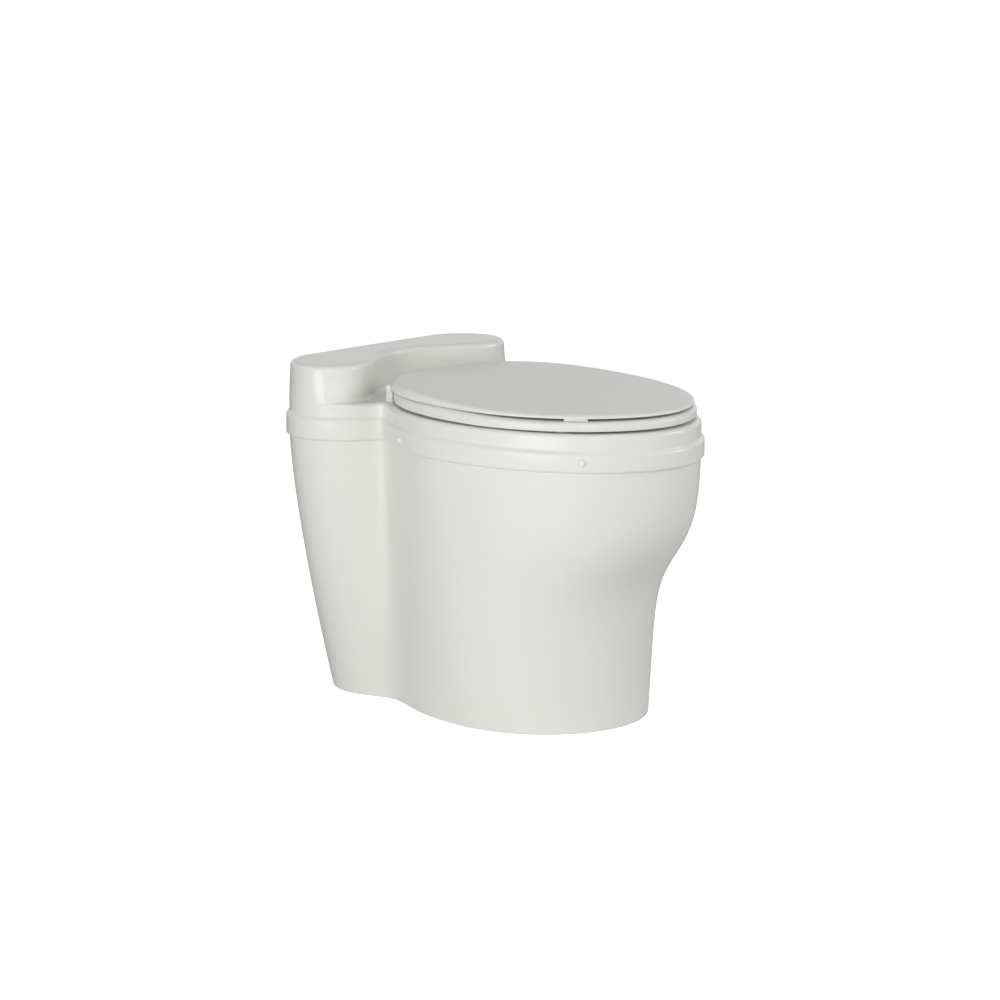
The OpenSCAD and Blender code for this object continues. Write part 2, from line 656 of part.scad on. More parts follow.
base_shell();
top_shroud();
seat_ring();
lid();
lid_bumper(-1);  // lid_bumper_left
lid_bumper(1);  // lid_bumper_right
seat_pad(-1, pad_front);  // seat_pad_front_left
seat_pad(1, pad_front);  // seat_pad_front_right
seat_pad(-1, pad_rear);  // seat_pad_rear_left
seat_pad(1, pad_rear);  // seat_pad_rear_right
hinge_post(-1);  // hinge_post_left
hinge_post(1);  // hinge_post_right
hinge_pin(-1);  // hinge_pin_left
hinge_pin(1);  // hinge_pin_right
hinge_cap(-1);  // hinge_cap_left
hinge_cap(1);  // hinge_cap_right
hinge_bolt(-1);  // hinge_bolt_left
hinge_bolt(1);  // hinge_bolt_right
hinge_washer(-1);  // hinge_washer_left
hinge_washer(1);  // hinge_washer_right
bowl_liner();
chute_sleeve();
band_screw(0);  // band_screw_1
band_screw(1);  // band_screw_2
band_screw(2);  // band_screw_3
band_screw(3);  // band_screw_4
band_screw(4);  // band_screw_5
band_screw(5);  // band_screw_6
screw_cap(0);  // screw_cap_1
screw_cap(1);  // screw_cap_2
screw_cap(2);  // screw_cap_3
screw_cap(3);  // screw_cap_4
screw_cap(4);  // screw_cap_5
screw_cap(5);  // screw_cap_6
clip_nut(0);  // clip_nut_1
clip_nut(1);  // clip_nut_2
clip_nut(2);  // clip_nut_3
clip_nut(3);  // clip_nut_4
clip_nut(4);  // clip_nut_5
clip_nut(5);  // clip_nut_6
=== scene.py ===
import math

import bmesh
import bpy
import mathutils
import numpy as np
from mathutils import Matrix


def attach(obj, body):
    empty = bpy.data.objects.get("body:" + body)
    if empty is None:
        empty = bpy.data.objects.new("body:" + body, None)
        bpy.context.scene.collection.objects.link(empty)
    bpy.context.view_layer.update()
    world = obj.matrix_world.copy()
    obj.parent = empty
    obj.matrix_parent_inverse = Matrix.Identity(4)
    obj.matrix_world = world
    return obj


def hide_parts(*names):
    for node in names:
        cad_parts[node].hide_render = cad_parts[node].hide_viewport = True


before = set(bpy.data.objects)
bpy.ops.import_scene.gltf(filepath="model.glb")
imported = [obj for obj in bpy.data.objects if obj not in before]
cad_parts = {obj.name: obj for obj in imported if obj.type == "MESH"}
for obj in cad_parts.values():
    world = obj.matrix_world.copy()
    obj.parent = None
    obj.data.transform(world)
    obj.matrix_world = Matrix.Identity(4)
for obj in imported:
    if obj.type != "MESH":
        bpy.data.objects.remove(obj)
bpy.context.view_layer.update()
MM = 0.001

# ---------------------------------------------------------------- sizes, in mm and degrees
# Most repeat those of the solids. The band's reach and shoulder, the hood's ends, the rear corners
# of the seat and the lid, the hinges and the bumpers differ, and follow the photograph more closely.

# the pedestal's outline: rays from a core on the X = 0 plane, the front ones closer together
CORE_Y = 177.0
STEPS_FRONT, STEPS_REAR, STEP_BEND = 22, 18, 1.25
FINE = 8                                    # steps here for each of the solids' steps
WAIST_A = -14.0
WAIST_TAPS = ((-5, 0.1), (-2.5, 0.22), (0, 0.36), (2.5, 0.22), (5, 0.1))
WAIST_NEAR, WAIST_FADE = 12.0, 14.0
TAPER_TOP, TAPER_BEND = 387.0, 1.36
BULGE_SHARE, BULGE_H, BULGE_SPREAD = 0.936, 0.378, 0.075
# each of these at the rim and at the foot
EGG_CY, EGG_W, EGG_BACK = (-37.0, -41.0), (371.0, 310.0), (230.0, 234.0)
EGG_TIP = (-306.0, -209.0)
SLOT_Y, SLOT_W, SLOT_R = (305.3, 296.0), (400.0, 256.0), (74.0, 79.0)
WAIST_BLEND = (132.0, 91.0)

# base
BASE_TOP, BASE_WALL, WEB_T, FOOT_ROUND = 416.0, 5.0, 6.0, 2.0
FLOOR_HOLES = [(-126.0, -113.0), (126.0, -113.0), (-70.0, 250.0), (70.0, 250.0)]
FLOOR_HOLE_R, SOCKET_R, SLEEVE_T = 4.5, 129.0, 4.0

# shroud
BAND_Z, BAND_OUT, BAND_LIP, BAND_GAP = 387.0, 4.8, 4.0, 0.6
SHOULDER_Z, SHOULDER_H, SHOULDER_TILT = 417.2, 8.0, 0.0107
DECK_Z, DECK_T, DECK_ROUND = 440.5, 5.0, 7.0
DECK_END, DECK_FADE = STEPS_FRONT + 2.6, 1.6  # steps at which the deck's rounding ends, by the hood
LEAVE = 5                                   # steps past the waist at which the hood leaves the rim
HOOD_Z, HOOD_ROUND, HOOD_LEAN, FILLET = 495.0, 9.0, 2.0, 7.0
CHEEK_X, CHEEK_Y, HOLLOW_D, CHEEK_BLEND = 146.0, 178.5, 58.0, 4.0
CORNER_LOW, CORNER_HIGH, CORNER_RISE = 2.15, 1.9, 34.0
RIM_TURN, RIM_IN = 0.2, 0.314               # how far the hood's ends stay inside the rim
FILLET_SHARE = 0.9                          # of the gap between hood and rim
FLAT = 1.5                                  # a narrow level ring beside each rounded edge

# bowl's mouth and liner
MOUTH_W, MOUTH_L, MOUTH_EDGE, HOLE_CY = 236.0, 306.0, 2.0, -92.0
CHUTE_Y, SPOUT_R, SPOUT_Z, ROUND_Z = -25.0, 112.0, 100.0, 190.0
LINER_T, LINER_FLANGE = 2.5, 12.0

# seat and lid
OVAL_N, REAR_BLEND, CLEAR = 320, 8.0, 0.3
LID_W, LID_TIP, LID_CY, LID_BACK, LID_REAR = 358.0, 293.0, -75.0, 250.0, 164.5
LID_NF, LID_NR = 1.88, 2.5
LID_Z, LID_EDGE, LID_RISE, LID_ROUND, LID_T, LID_CROWN = 461.1, 6.5, 8.0, 11.0, 4.0, 2.5
SEAT_Z, SEAT_T, SEAT_OUT, SEAT_LOW = 443.5, 14.0, 3.8, 2.5
SEAT_HW, SEAT_HL, SEAT_REAR, SEAT_BACK, SEAT_NR = 111.0, 146.0, 141.0, 250.0, 2.2
SEAT_TOP = SEAT_Z + SEAT_T
BUMPER_A, BUMPER_L, BUMPER_W, BUMPER_IN = -45.6, 33.0, 9.0, 0.7

# hinges, from the middle outwards: seat's knuckle, lid's lug, post, cap
HINGE_Y, HINGE_Z, BARREL_R, PIN_R = 150.0, 458.0, 6.2, 2.8
KNUCKLE_X, KNUCKLE_L, KNUCKLE_GAP, LUG_L, POST_L, CAP_T = 77.0, 13.0, 0.4, 8.0, 9.0, 3.0
LID_X = KNUCKLE_X + KNUCKLE_L + KNUCKLE_GAP
POST_X = LID_X + LUG_L + KNUCKLE_GAP
LUG_ROUND, BLOCK_ROUND, RECESS_CLEAR = 0.8, 1.2, 1.0
BOLT_R, BOLT_UP, BOLT_HEAD_R, BOLT_HEAD_T, WASHER_R, WASHER_T = 2.8, 10.0, 5.5, 5.0, 6.5, 2.0

# caps over the band's screws
SCREW_Z, CAP_R = 402.0, 5.6
SCREW_ANGLES = [-73.7, -34.0, 70.0, 110.0, 214.0, 253.7]


# ---------------------------------------------------------------- outlines
def lerp(a, b, t):
    return a + (b - a) * t


def smooth(t):
    u = np.clip(t, 0, 1)
    return u * u * (3 - 2 * u)


def soft_max(a, b, k):
    """The larger of a and b, rounded over where they differ by less than k."""
    h = np.maximum(k - np.abs(a - b), 0) / k
    return np.maximum(a, b) + h * h * k / 4


def taper(z):
    """0 at the rim and 1 at the foot."""
    return max(0.0, 1 - z / TAPER_TOP) ** TAPER_BEND


def bulge(z):
    """How far the front has drawn in from its tip at the rim, 0 to 1 at the foot."""
    h = max(0.0, 1 - z / TAPER_TOP)

    def s(x):
        return 1 / (1 + math.exp(-(x - BULGE_H) / BULGE_SPREAD))

    return BULGE_SHARE * (s(h) - s(0)) / (s(1) - s(0)) + (1 - BULGE_SHARE) * h


def egg_ray(c, s, cy, w, front, back):
    """Distance along rays of cosine c and sine s to two half ellipses joined at y = cy."""
    d = CORE_Y - cy

    def ray(l):
        a = (c / w) ** 2 + (s / l) ** 2
        b = 2 * s * d / l ** 2
        return (-b + np.sqrt(np.maximum(b * b - 4 * a * (d * d / l ** 2 - 1), 0))) / (2 * a)

    rf = ray(front)
    return np.where(CORE_Y + rf * s < cy, rf, ray(back))


def slot_ray(c, s, yb, w, r):
    """Distance along the same rays to a slot with round ends, w to each side and with its back at yb."""
    a, cy, ac = w - r, yb - r - CORE_Y, np.abs(c)
    b = a * ac + cy * s
    out = b + np.sqrt(np.maximum(b * b - (a * a + cy * cy - r * r), 0))
    safe = np.where(np.abs(s) < 0.01, 1.0, s)
    far = (s > 0.01) & ((yb - CORE_Y) / safe * ac <= a)
    near = (s < -0.01) & ((yb - 2 * r - CORE_Y) / safe * ac <= a)
    return np.where(far, (yb - CORE_Y) / safe, np.where(near, (yb - 2 * r - CORE_Y) / safe, out))


def body_ray(a, z):
    """Distance from the core to the pedestal's outline, averaged over a few degrees near the waist."""
    mean = sum(w * sharp_ray(a + d, z) for d, w in WAIST_TAPS)
    off = np.abs(90 - np.abs(90 - a) - WAIST_A)
    return lerp(mean, sharp_ray(a, z), smooth((off - WAIST_NEAR) / WAIST_FADE))


def sharp_ray(a, z):
    """Distance from the core to the outline of the solids: the egg and the slot, blended at the waist."""
    g, t = taper(z), np.radians(a)
    c, s = np.cos(t), np.sin(t)
    cy = lerp(*EGG_CY, g)
    egg = egg_ray(c, s, cy, lerp(*EGG_W, g) / 2, cy - lerp(*EGG_TIP, bulge(z)), lerp(*EGG_BACK, g))
    slot = slot_ray(c, s, lerp(*SLOT_Y, g), lerp(*SLOT_W, g) / 2, lerp(*SLOT_R, g))
    return soft_max(egg, slot, lerp(*WAIST_BLEND, g))


def body_at(a, z, o):
    """Points of the pedestal's outline at directions a and height z, moved out by o along the normal."""
    a = np.atleast_1d(np.asarray(a, float))
    d = 0.5
    r = body_ray(a, z)
    dr = (body_ray(a + d, z) - body_ray(a - d, z)) / math.radians(2 * d)
    t = np.radians(a)
    n = np.stack([r * np.cos(t) + dr * np.sin(t), r * np.sin(t) - dr * np.cos(t)], 1)
    n /= np.linalg.norm(n, axis=1)[:, None]
    p = np.stack([r * np.cos(t), CORE_Y + r * np.sin(t)], 1)
    return p + n * np.reshape(o, (-1, 1))


def directions():
    """Directions of a ring's points, from the front round to the back and on to the front."""
    half = (STEPS_FRONT + STEPS_REAR) * FINE
    k = np.arange(half + 1) / FINE
    front = -90 + (WAIST_A + 90) * (np.minimum(k, STEPS_FRONT) / STEPS_FRONT) ** STEP_BEND
    rear = WAIST_A + (90 - WAIST_A) * (k - STEPS_FRONT) / STEPS_REAR
    a = np.where(k <= STEPS_FRONT, front, rear)
    return np.concatenate([a, 180 - a[-2:0:-1]])


def ring3(p, z):
    """Points in the plane lifted to z, which is one height or one for each point."""
    return np.column_stack([p, np.broadcast_to(z, len(p))])


def ellipse(t, rx, ry, cy, z):
    return np.column_stack([rx * np.cos(t), cy + ry * np.sin(t), np.full(len(t), z)])


# ---------------------------------------------------------------- mesh building
class Mesh:
    """Collects rings of points in mm and the faces between them."""

    def __init__(self):
        self.v, self.f = [], []

    def ring(self, pts):
        i = len(self.v)
        self.v.extend(np.asarray(pts, float).tolist())
        return list(range(i, len(self.v)))

    def band(self, a, b, closed=True):
        n = len(a)
        for i in range(n if closed else n - 1):
            j = (i + 1) % n
            self.f.append((a[i], a[j], b[j], b[i]))

    def bands(self, rings):
        for a, b in zip(rings[:-1], rings[1:]):
            self.band(a, b)

    def fan(self, a, p, flip=False):
        i = len(self.v)
        self.v.append(list(p))
        n = len(a)
        for k in range(n):
            j = (k + 1) % n
            self.f.append((a[j], a[k], i) if flip else (a[k], a[j], i))

    def flat(self, loops):
        """Fills the flat area between loops of vertex numbers."""
        bm = bmesh.new()
        vs, back = [], []
        for loop in loops:
            these = [bm.verts.new(self.v[i]) for i in loop]
            vs.append(these)
            back += loop
        bm.verts.index_update()
        edges = []
        for these in vs:
            for k in range(len(these)):
                edges.append(bm.edges.new((these[k], these[(k + 1) % len(these)])))
        bmesh.ops.triangle_fill(bm, use_beauty=True, use_dissolve=False, edges=edges)
        bm.verts.index_update()
        for f in bm.faces:
            self.f.append(tuple(back[v.index] for v in f.verts))
        bm.free()

    def object(self, name, mat, sharp=None):
        me = bpy.data.meshes.new(name)
        me.from_pydata([[c * MM for c in p] for p in self.v], [], self.f)
        me.update()
        bm = bmesh.new()
        bm.from_mesh(me)
        bmesh.ops.remove_doubles(bm, verts=bm.verts, dist=1e-7)
        bmesh.ops.dissolve_degenerate(bm, edges=bm.edges, dist=1e-7)
        bmesh.ops.recalc_face_normals(bm, faces=bm.faces)
        bm.to_mesh(me)
        bm.free()
        ob = bpy.data.objects.new(name, me)
        bpy.context.scene.collection.objects.link(ob)
        me.materials.append(mat)
        for p in me.polygons:
            p.use_smooth = True
        if sharp is not None:
            me.set_sharp_from_angle(angle=math.radians(sharp))
        return ob


def arc(n, start=0.0, end=90.0):
    return [math.radians(start + (end - start) * k / n) for k in range(n + 1)]


def lathe(mesh, profile, place, n=64):
    """Turns a profile of (radius, height) about its axis; place maps arrays of x, y and z to points."""
    rings = []
    t = np.linspace(0, 2 * math.pi, n, endpoint=False)
    for r, h in profile:
        if r < 1e-6:
            continue
        rings.append(mesh.ring(place(np.cos(t) * r, np.sin(t) * r, np.full(n, float(h)))))
    mesh.bands(rings)
    for (r, h), ring, flip in ((profile[0], rings[0], True), (profile[-1], rings[-1], False)):
        if r < 1e-6:
            c = place(np.zeros(1), np.zeros(1), np.full(1, float(h)))[0]
            mesh.fan(ring, c, flip)


def finish_piece(ob, body, slot, *nodes):
    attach(ob, body)
    if nodes:
        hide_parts(*nodes)


# ---------------------------------------------------------------- materials
def plastic(name, color, rough, spread, peel=0, scale=1.0):
    """Moulded plastic: faintly cloudy colour, slightly uneven gloss and, where peel is set, a fine ripple."""
    m = bpy.data.materials.new(name)
    m.use_nodes = True
    nt = m.node_tree
    b = nt.nodes["Principled BSDF"]
    b.inputs["IOR"].default_value = 1.42
    tc = nt.nodes.new("ShaderNodeTexCoord")
    cloud = nt.nodes.new("ShaderNodeTexNoise")
    cloud.inputs["Scale"].default_value = 9 * scale
    cloud.inputs["Detail"].default_value = 3
    nt.links.new(tc.outputs["Object"], cloud.inputs["Vector"])
    ramp = nt.nodes.new("ShaderNodeValToRGB")
    ramp.color_ramp.elements[0].position = 0.3
    ramp.color_ramp.elements[1].position = 0.7
    ramp.color_ramp.elements[0].color = (*[c * (1 - spread) for c in color], 1)
    ramp.color_ramp.elements[1].color = (*[min(1, c * (1 + spread)) for c in color], 1)
    nt.links.new(cloud.outputs["Fac"], ramp.inputs["Fac"])
    nt.links.new(ramp.outputs["Color"], b.inputs["Base Color"])
    streak = nt.nodes.new("ShaderNodeTexNoise")
    streak.inputs["Scale"].default_value = 38 * scale
    streak.inputs["Detail"].default_value = 4
    nt.links.new(tc.outputs["Object"], streak.inputs["Vector"])
    span = nt.nodes.new("ShaderNodeMapRange")
    span.inputs["To Min"].default_value = rough * 0.96
    span.inputs["To Max"].default_value = rough * 1.05
    nt.links.new(streak.outputs["Fac"], span.inputs["Value"])
    nt.links.new(span.outputs["Result"], b.inputs["Roughness"])
    if peel:
        fine = nt.nodes.new("ShaderNodeTexNoise")
        fine.inputs["Scale"].default_value = 160 * scale
        fine.inputs["Detail"].default_value = 2
        nt.links.new(tc.outputs["Object"], fine.inputs["Vector"])
        bump = nt.nodes.new("ShaderNodeBump")
        bump.inputs["Strength"].default_value = peel
        bump.inputs["Distance"].default_value = 0.0001
        nt.links.new(fine.outputs["Fac"], bump.inputs["Height"])
        nt.links.new(bump.outputs["Normal"], b.inputs["Normal"])
    return m


def metal(name, color, rough):
    """Stainless steel with a fine grain in colour and gloss."""
    m = bpy.data.materials.new(name)
    m.use_nodes = True
    nt = m.node_tree
    b = nt.nodes["Principled BSDF"]
    b.inputs["Metallic"].default_value = 1.0
    tc = nt.nodes.new("ShaderNodeTexCoord")
    grain = nt.nodes.new("ShaderNodeTexNoise")
    grain.inputs["Scale"].default_value = 600
    grain.inputs["Detail"].default_value = 4
    nt.links.new(tc.outputs["Object"], grain.inputs["Vector"])
    ramp = nt.nodes.new("ShaderNodeValToRGB")
    ramp.color_ramp.elements[0].color = (*[c * 0.9 for c in color], 1)
    ramp.color_ramp.elements[1].color = (*color, 1)
    nt.links.new(grain.outputs["Fac"], ramp.inputs["Fac"])
    nt.links.new(ramp.outputs["Color"], b.inputs["Base Color"])
    span = nt.nodes.new("ShaderNodeMapRange")
    span.inputs["To Min"].default_value = rough * 0.7
    span.inputs["To Max"].default_value = rough * 1.3
    nt.links.new(grain.outputs["Fac"], span.inputs["Value"])
    nt.links.new(span.outputs["Result"], b.inputs["Roughness"])
    return m


BODY = plastic("body_plastic", (0.80, 0.80, 0.765), 0.22, spread=0.006)
SEAT = plastic("seat_plastic", (0.79, 0.79, 0.765), 0.30, spread=0.006)
CAPS = plastic("cap_plastic", (0.80, 0.80, 0.775), 0.30, spread=0.008, scale=3)
PAD = plastic("pad_rubber", (0.74, 0.74, 0.72), 0.62, spread=0.03, peel=0.15, scale=2)
LINER = plastic("liner_plastic", (0.055, 0.056, 0.06), 0.42, spread=0.12, peel=0.12)
STEEL = metal("steel", (0.62, 0.62, 0.63), 0.3)


# ---------------------------------------------------------------- pedestal
def make_base():
    a = directions()
    m = Mesh()
    outer = []
    for t in arc(6):
        z = FOOT_ROUND * (1 - math.cos(t))
        outer.append(m.ring(ring3(body_at(a, z, -FOOT_ROUND * (1 - math.sin(t))), z)))
    for z in np.concatenate([np.linspace(6, 380, 72), [TAPER_TOP]]):
        outer.append(m.ring(ring3(body_at(a, z, 0), z)))
    lip = [(0, 1), (0.3, 0.3), (1, 0), (BASE_WALL - 1, 0), (BASE_WALL - 0.3, 0.3), (BASE_WALL, 1)]
    lip.append((BASE_WALL, BASE_TOP - TAPER_TOP))
    top = [m.ring(ring3(body_at(a, TAPER_TOP, -d), BASE_TOP - down)) for d, down in lip]
    inner = [m.ring(ring3(body_at(a, z, -BASE_WALL), z)) for z in np.linspace(370, WEB_T, 34)]
    m.bands(outer + top + inner)
    t = np.radians(np.arange(0, 360, 3.0))
    holes = [(0, CHUTE_Y, SOCKET_R + SLEEVE_T + CLEAR)] + [(x, y, FLOOR_HOLE_R) for x, y in FLOOR_HOLES]
    low, high = [outer[0]], [inner[-1]]
    for x, y, r in holes:
        p = np.column_stack([x + r * np.cos(t), y + r * np.sin(t)])
        l, h = m.ring(ring3(p, 0)), m.ring(ring3(p, WEB_T))
        m.band(l, h)
        low.append(l)
        high.append(h)
    m.flat(low)
    m.flat(high)
    finish_piece(m.object("base_shell_skin", BODY, 50), "root", "body_plastic", "base_shell")


# ---------------------------------------------------------------- shroud
def make_shroud():
    a = directions()
    n = len(a)
    k = np.minimum(np.arange(n), n - np.arange(n)) / FINE
    share = smooth((DECK_END - k) / DECK_FADE)
    hi = (STEPS_FRONT + LEAVE) * FINE
    m = Mesh()

    # outside of the band, its shoulder and the deck's rounded edge, up to the rim
    rings = []
    for t in arc(6):
        p = body_at(a, TAPER_TOP, BAND_OUT - BAND_LIP * (1 - math.sin(t)))
        rings.append(m.ring(ring3(p, BAND_Z + BAND_LIP * (1 - math.cos(t)))))
    for t in np.linspace(0, 1, 17):
        p = body_at(a, TAPER_TOP, BAND_OUT * (1 - float(smooth(t))))
        rings.append(m.ring(ring3(p, SHOULDER_Z + SHOULDER_TILT * p[:, 1] + SHOULDER_H * (t - 0.5))))
    for t in arc(10):
        p = body_at(a, TAPER_TOP, -DECK_ROUND * (1 - math.cos(t)) * share)
        rings.append(m.ring(ring3(p, DECK_Z - DECK_ROUND * (1 - math.sin(t)))))
    rim = body_at(a, TAPER_TOP, -(DECK_ROUND + FLAT) * share)
    rings.append(m.ring(ring3(rim, DECK_Z)))
    m.bands(rings)

    # hood: a hollow between two cheeks, whose ends meet the rim at (lobe_x, lobe_y)
    lobe_x, lobe_y = body_at(a[hi], TAPER_TOP, 0)[0]
    hm = n - 2 * hi
    x = -lobe_x * np.cos(math.pi * np.arange(hm + 1) / hm)
    ax = np.abs(x)
    t = np.clip((ax - CHEEK_X) / (lobe_x - CHEEK_X), 0, 1)
    side = body_at(a[STEPS_FRONT * FINE:hi + 1], TAPER_TOP, 0)
    edge = np.where(ax > side[0, 0], np.interp(ax, side[:, 0], side[:, 1]), 0)

    def hood_front(z, f, end=0.0):
        """The hood's front at height z, moved in by f, and by end where it meets the rim."""
        corner_n = lerp(CORNER_LOW, CORNER_HIGH, smooth((z - DECK_Z) / CORNER_RISE))
        y = CHEEK_Y + HOLLOW_D * (1 + np.cos(math.pi * np.minimum(ax, CHEEK_X) / CHEEK_X)) / 2
        y += (lobe_y - CHEEK_Y) * (1 - (1 - t ** corner_n) ** (1 / corner_n))
        line = np.column_stack([x, soft_max(y, edge, CHEEK_BLEND)])
        step = np.gradient(line, axis=0)
        inward = np.column_stack([-step[:, 1], step[:, 0]]) / np.linalg.norm(step, axis=1)[:, None]
        return (line + inward * np.reshape(lerp(f, end, t), (-1, 1)))[1:-1]

    def hood(z, f, end):
        back = body_at(a[hi:n - hi + 1], TAPER_TOP, -end)
        return m.ring(np.concatenate([ring3(back, z), ring3(hood_front(z, f, end), z)]))

    rear = rings[-1][hi:n - hi + 1]
    back_n = len(rear)
    gap = np.array([np.min(np.hypot(*(rim - q).T)) for q in hood_front(DECK_Z, 0)])
    gap = np.concatenate([[0], gap, [0]])
    reach = np.minimum(FILLET, FILLET_SHARE * gap)
    level = np.minimum(FLAT, 0.5 * (gap - reach))
    foot = [rear + m.ring(ring3(hood_front(DECK_Z, -reach - d), DECK_Z)) for d in (level, 0)]
    levels = []
    for b in arc(12)[1:]:
        levels.append((DECK_Z + FILLET * (1 - math.cos(b)), -reach * (1 - math.sin(b)), RIM_TURN * b))
    zt = HOOD_Z - HOOD_ROUND
    low = DECK_Z + FILLET
    for z in np.linspace(low, zt, 12)[1:]:
        lean = HOOD_LEAN * (z - low) / (zt - low)
        levels.append((z, lean, max(RIM_IN, lean)))
    for b in arc(12)[1:]:
        o = HOOD_LEAN + HOOD_ROUND * (1 - math.cos(b))
        levels.append((zt + HOOD_ROUND * math.sin(b), o, o))
    o = HOOD_LEAN + HOOD_ROUND + FLAT
    levels.append((HOOD_Z, o, o))
    hoods = foot + [hood(*l) for l in levels]
    m.bands(hoods[1:])
    m.band(foot[0][back_n - 1:] + foot[0][:1], foot[1][back_n - 1:] + foot[1][:1], False)
    m.flat([hoods[-1]])

    # bowl's mouth and the deck round it
    t = np.radians(np.arange(0, 360, 2.0))
    mouths = []
    for d, down in ((1.5 + FLAT, 0), (1.5, 0), (0.4, 0.4), (0, 1.5), (0, DECK_T)):
        w, l = MOUTH_W / 2 + MOUTH_EDGE + d, MOUTH_L / 2 + MOUTH_EDGE + d
        mouths.append(m.ring(ellipse(t, w, l, HOLE_CY, DECK_Z - down)))
    m.bands(mouths)
    m.flat([rings[-1][n - hi:] + rings[-1][:hi + 1] + foot[0][:back_n - 1:-1], mouths[0]])

    # inside of the band and the deck's underside
    walls = [(1.0, BAND_Z), (BAND_GAP, BAND_Z + 0.6), (BAND_GAP, BASE_TOP + 1.5)]
    walls += [(-DECK_T, BASE_TOP + 4), (-DECK_T - 2, DECK_Z - DECK_T)]
    inner = [m.ring(ring3(body_at(a, TAPER_TOP, o), z)) for o, z in walls]
    m.band(rings[0], inner[0])
    m.bands(inner)
    m.flat([inner[-1], mouths[-1]])
    finish_piece(m.object("top_shroud_skin", BODY, 60), "root", "body_plastic", "top_shroud")


# ---------------------------------------------------------------- seat and lid
def turn(n):
    """Angles of n points round an oval, from its front."""
    return np.radians(np.arange(n) * 360.0 / n - 90)


def oval(d, yr, back=LID_BACK, nr=LID_NR):
    """Points of an outline like the lid's, moved in by d; its rear edge is held at y = yr."""
    t = turn(OVAL_N)
    s, c = np.sin(t), np.cos(t)
    e = np.where(s < 0, 2 / LID_NF, 2 / nr)
    l = np.where(s < 0, LID_TIP + LID_CY, back) - d
    x = (LID_W / 2 - d) * np.sign(c) * np.abs(c) ** e
    y = LID_CY + l * np.sign(s) * np.abs(s) ** e
    return np.column_stack([x, np.where(s < 0, y, -soft_max(-y, -yr, REAR_BLEND))])


def oval_point(deg):
    """The point of the lid's front edge at the angle deg."""
    s, c = math.sin(math.radians(deg)), math.cos(math.radians(deg))
    return LID_W / 2 * c ** (2 / LID_NF), LID_CY - (LID_TIP + LID_CY) * (-s) ** (2 / LID_NF)


def lid_top(y):
    """Height of the lid's edge, which rises towards the rear."""
    return LID_Z + LID_EDGE + LID_RISE * smooth((y + 200) / 300)


def seat_rise(y):
    """How far the seat's top rises at the rear, where the lid rests on it."""
    return (LID_Z - SEAT_TOP - CLEAR) * (1 - smooth(-y / 200))


def rounded_bar(m, x0, x1, r, edge, n=64):
    """A cylinder on the hinge axis from x0 to x1 with rounded ends."""
    s = 1 if x1 > x0 else -1
    prof = [(0.0, 0.0)] + [(r - edge * (1 - math.sin(t)), edge * (1 - math.cos(t))) for t in arc(5)]
    l = abs(x1 - x0)
    prof += [(r - edge * (1 - math.cos(t)), l - edge * (1 - math.sin(t))) for t in arc(5)] + [(0.0, l)]
    lathe(m, prof, lambda x, y, z: np.column_stack([x0 + s * z, HINGE_Y + x, HINGE_Z + y * s]), n)


def block(m, lo, hi, r):
    """A box with rounded vertical and horizontal edges."""
    n = 4

    def loop(d, z):
        pts = []
        x0, y0, x1, y1 = lo[0] + d, lo[1] + d, hi[0] - d, hi[1] - d
        q = max(r - d, 0.15)
        left, right, near, far = x0 + q, x1 - q, y0 + q, y1 - q
        for cx, cy, a0 in ((right, near, -90), (right, far, 0), (left, far, 90), (left, near, 180)):
            for t in arc(n, a0, a0 + 90):
                pts.append((cx + q * math.cos(t), cy + q * math.sin(t), z))
        return m.ring(pts)

    rings = [loop(r * (1 - math.sin(t)), lo[2] + r * (1 - math.cos(t))) for t in arc(n)]
    rings += [loop(r * (1 - math.cos(t)), hi[2] - r * (1 - math.sin(t))) for t in arc(n)]
    m.bands(rings)
    m.f.append(tuple(rings[0][::-1]))
    m.f.append(tuple(rings[-1]))


def side_name(s):
    return "left" if s < 0 else "right"


def knuckle(m, x0, x1, lo, hi):
    """A barrel from x0 to x1 on the hinge axis with a block from lo to hi, which are (y, z)."""
    rounded_bar(m, x0, x1, BARREL_R, LUG_ROUND)
    a, b = sorted((x0, x1))
    block(m, (a, *lo), (b, *hi), BLOCK_ROUND)


